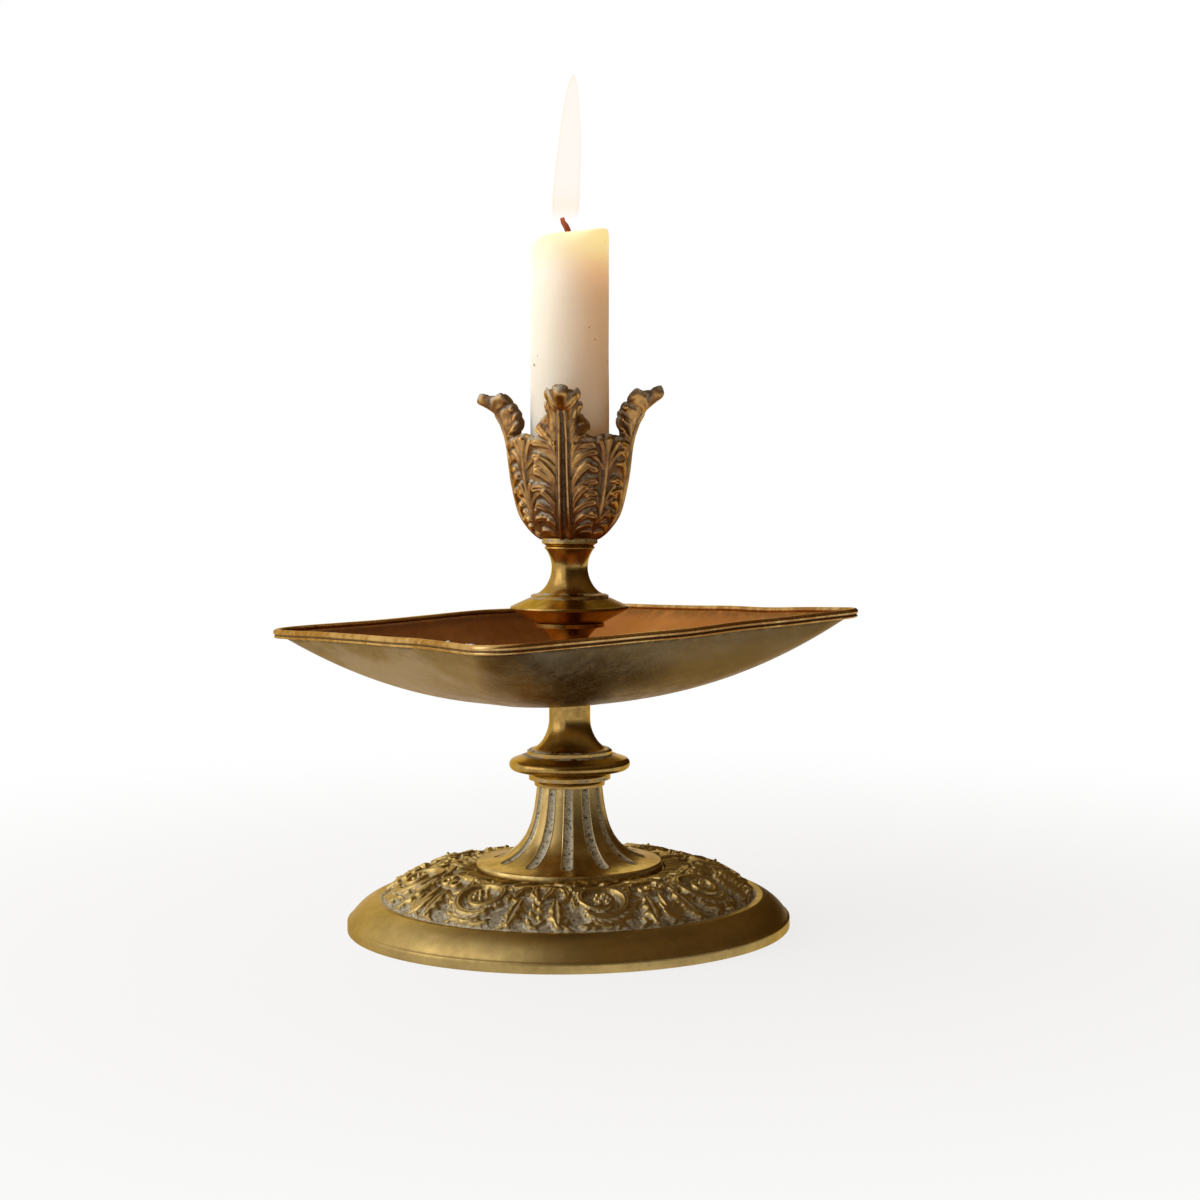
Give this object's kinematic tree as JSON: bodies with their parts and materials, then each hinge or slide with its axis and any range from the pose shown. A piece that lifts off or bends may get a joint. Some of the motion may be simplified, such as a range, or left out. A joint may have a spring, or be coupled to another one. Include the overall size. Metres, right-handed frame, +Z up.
{
  "type": "pricket candle stand",
  "caption": "Brass pricket candle stand: round relief foot, fluted column, turned stem, square drip tray and acanthus leaf cup holding a lit candle on a spike.",
  "frame": {"origin": "middle of the foot's underside, on the stem's axis, on the surface that the stand rests on", "axes": "+Z up the stem. The tray's corners and the leaves point along X and Y, and the tray's +X corner is its highest."},
  "size_m": [0.1663, 0.1664, 0.2378],
  "materials": {
    "foot_brass": "satin",
    "column_brass": "satin",
    "turned_brass": "gloss",
    "tray_brass": "satin",
    "edging_brass": "satin",
    "cup_bronze": "satin",
    "iron": "matte",
    "wax": "satin",
    "wick_cotton": "matte",
    "flame_gas": "glowing gas"
  },
  "bodies": {
    "stand": {"foot": "foot_brass", "foot_washer": "iron", "foot_nut": "iron", "tie_rod": "iron", "fluted_column": "column_brass", "knop_disc": "turned_brass", "lower_neck": "turned_brass", "tray": "tray_brass", "tray_edging": "edging_brass", "drip_disc": "turned_brass", "upper_neck": "turned_brass", "leaf_cup": "cup_bronze", "pricket": "iron"},
    "candle": {"candle": "wax", "wick": "wick_cotton", "flame": "flame_gas"}
  },
  "joints": [
    {"name": "candle_lift", "type": "slide", "parent": "stand", "child": "candle", "axis": [0, 0, 1], "range_m": [0, 0.05]}
  ]
}
